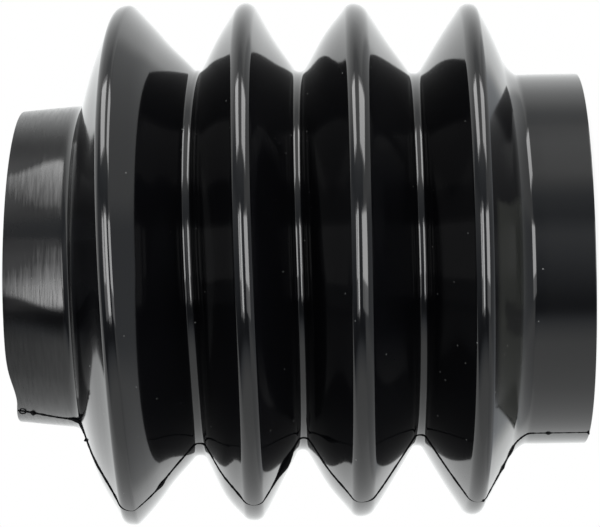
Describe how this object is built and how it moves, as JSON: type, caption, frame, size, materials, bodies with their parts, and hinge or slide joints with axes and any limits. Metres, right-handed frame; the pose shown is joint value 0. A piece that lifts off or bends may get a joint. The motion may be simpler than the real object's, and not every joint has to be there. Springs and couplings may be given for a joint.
{
  "type": "rubber bellows boot",
  "caption": "Moulded rubber bellows boot: convoluted sleeve with a small and a large clamp cuff that seals around a moving shaft.",
  "frame": {"origin": "centre of the large cuff's end face, which the boot stands on", "axes": "+Z along the boot's axis, from the large cuff up to the small cuff; the mould's parting line runs up both sides, at +X and -X"},
  "size_m": [0.0984, 0.098, 0.1057],
  "materials": {
    "rubber": "black moulded rubber, glossy on the folds, satin on the cuffs"
  },
  "bodies": {
    "root": {"bellows_boot": "rubber"}
  },
  "joints": []
}
